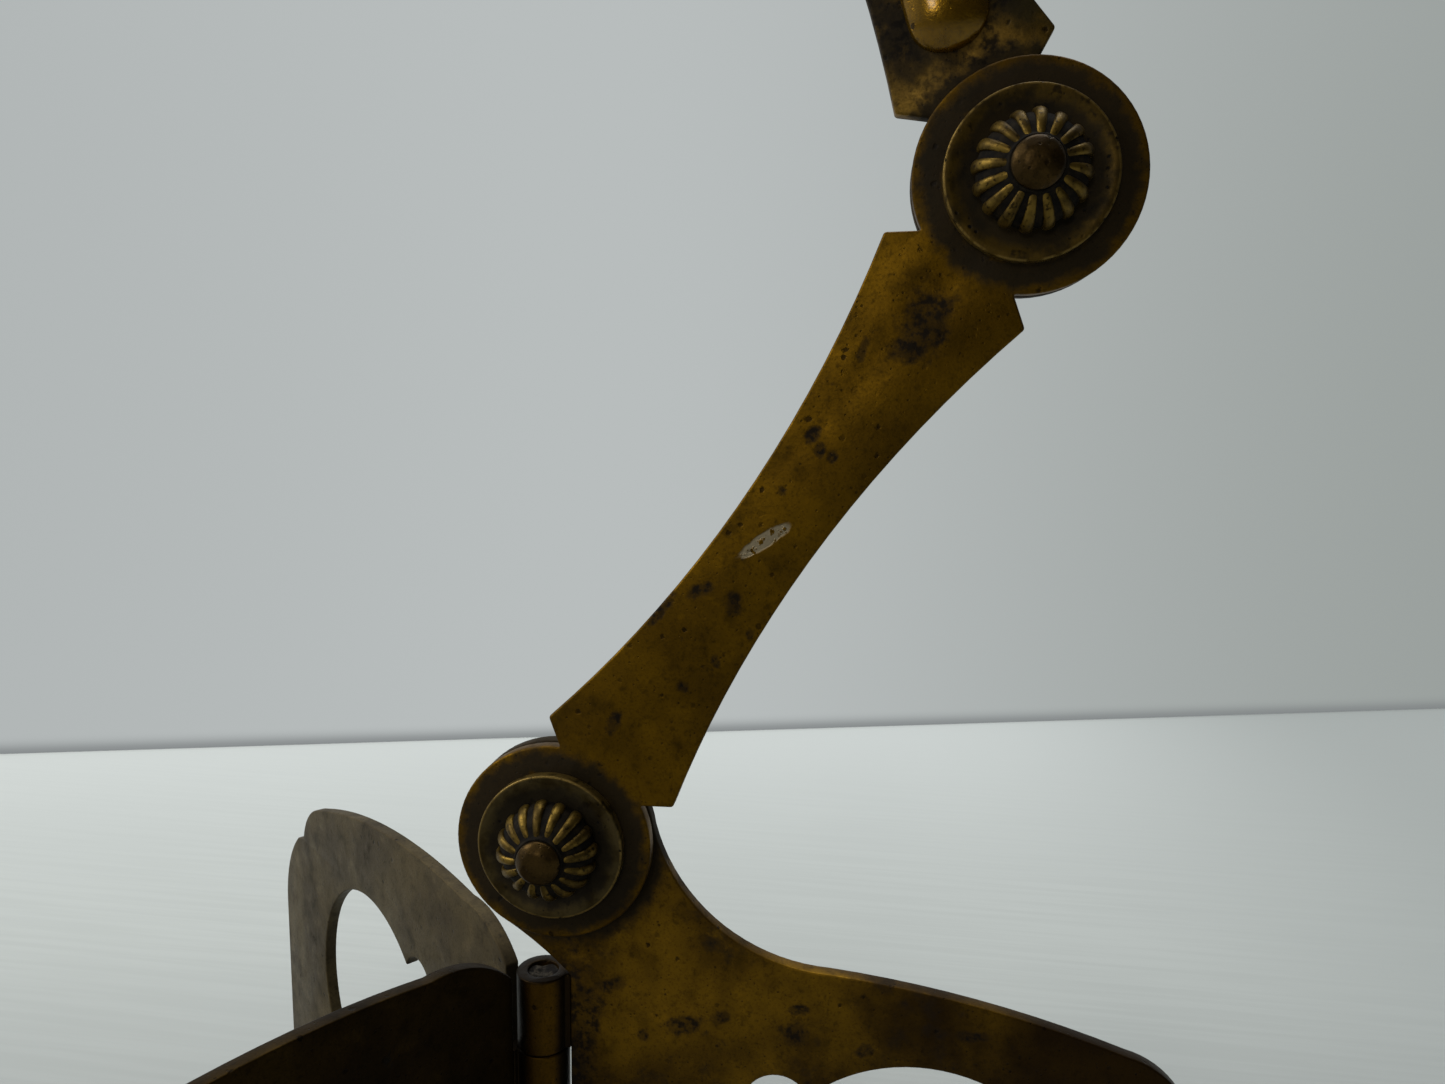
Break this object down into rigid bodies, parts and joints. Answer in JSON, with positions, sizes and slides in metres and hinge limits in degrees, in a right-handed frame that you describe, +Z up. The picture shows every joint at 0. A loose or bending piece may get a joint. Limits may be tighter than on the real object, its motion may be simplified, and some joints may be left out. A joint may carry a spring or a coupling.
{
  "type": "folding pan balance",
  "caption": "Folding brass stand of three pierced leaves and riveted links that holds a small two-pan balance.",
  "frame": {"origin": "on the axis of the upright hinge, at the level of the table", "axes": "+Z up along the hinge pin, +X along the main leaf away from the hinge, -Y towards the balance and the rosettes"},
  "size_m": [0.1631, 0.1325, 0.2804],
  "materials": {
    "leaf": "dark antique patina with dirt in the corners and worn edges",
    "knuckle": "brown-gold, rubbed, dark in the seams",
    "link": "brown-gold patina, stained, with small pits",
    "rosette": "cast and turned, dark in the flutes, bright on the ribs",
    "rivet": "dark, peened",
    "washer": "dull, oily",
    "pin": "dark and rough",
    "post": "turned, brown-gold",
    "beam": "filed, brown-gold",
    "pan": "spun, brown-gold with fine rings",
    "bow": "drawn wire, brown-gold"
  },
  "bodies": {
    "stand": {"main_leaf": "leaf", "main_knuckle_lower": "knuckle", "main_knuckle_upper": "knuckle", "hinge_pin": "pin", "friction_washer_lower": "washer", "back_washer_lower": "washer"},
    "rear_leaf": {"rear_leaf": "leaf", "rear_knuckle_lower": "knuckle", "rear_knuckle_upper": "knuckle"},
    "front_leaf": {"front_leaf": "leaf", "front_knuckle_lower": "knuckle", "front_knuckle_upper": "knuckle"},
    "lower_arm": {"lower_link": "link", "dished_washer_lower": "rosette", "fluted_dome_lower": "rosette", "rivet_lower": "rivet", "dished_washer_middle": "rosette", "fluted_dome_middle": "rosette", "rivet_middle": "rivet"},
    "upper_arm": {"upper_link": "link", "friction_washer_middle": "washer", "back_washer_middle": "washer", "friction_washer_upper": "washer", "back_washer_upper": "washer"},
    "hanger_arm": {"hanger": "link", "dished_washer_upper": "rosette", "fluted_dome_upper": "rosette", "rivet_upper": "rivet", "post": "post", "post_finial": "post"},
    "fork": {"fork": "post"},
    "beam": {"beam": "beam", "beam_pivot": "beam"},
    "left_pan": {"bow_left": "bow", "pan_left": "pan"},
    "right_pan": {"bow_right": "bow", "pan_right": "pan"}
  },
  "joints": [
    {"name": "rear_leaf_hinge", "type": "hinge", "parent": "stand", "child": "rear_leaf", "pos_m": [0, 0, 0.0312], "axis": [0, 0, 1], "range_deg": [-139, 7]},
    {"name": "front_leaf_hinge", "type": "hinge", "parent": "stand", "child": "front_leaf", "pos_m": [0, 0, 0.0312], "axis": [0, 0, -1], "range_deg": [-121, 8]},
    {"name": "lower_joint", "type": "hinge", "parent": "stand", "child": "lower_arm", "pos_m": [0.00255, 0, 0.0812], "axis": [0, 1, 0], "range_deg": [-92, 62]},
    {"name": "middle_joint", "type": "hinge", "parent": "lower_arm", "child": "upper_arm", "pos_m": [0.05645, 0, 0.16064], "axis": [0, -1, 0], "range_deg": [-187, 50]},
    {"name": "upper_joint", "type": "hinge", "parent": "upper_arm", "child": "hanger_arm", "pos_m": [0.01287, 0, 0.24617], "axis": [0, 1, 0], "range_deg": [-130, 130]},
    {"name": "fork_swing", "type": "hinge", "parent": "hanger_arm", "child": "fork", "pos_m": [0.00261, -0.032, 0.27437], "axis": [0, 1, 0], "range_deg": [-30, 30]},
    {"name": "beam_tilt", "type": "hinge", "parent": "fork", "child": "beam", "pos_m": [0.00261, -0.032, 0.24837], "axis": [0, 1, 0], "range_deg": [-15, 15]},
    {"name": "left_pan_swing", "type": "hinge", "parent": "beam", "child": "left_pan", "pos_m": [-0.04939, -0.032, 0.24737], "axis": [0, 1, 0], "range_deg": [-30, 30]},
    {"name": "right_pan_swing", "type": "hinge", "parent": "beam", "child": "right_pan", "pos_m": [0.05461, -0.032, 0.24737], "axis": [0, 1, 0], "range_deg": [-30, 30]}
  ]
}
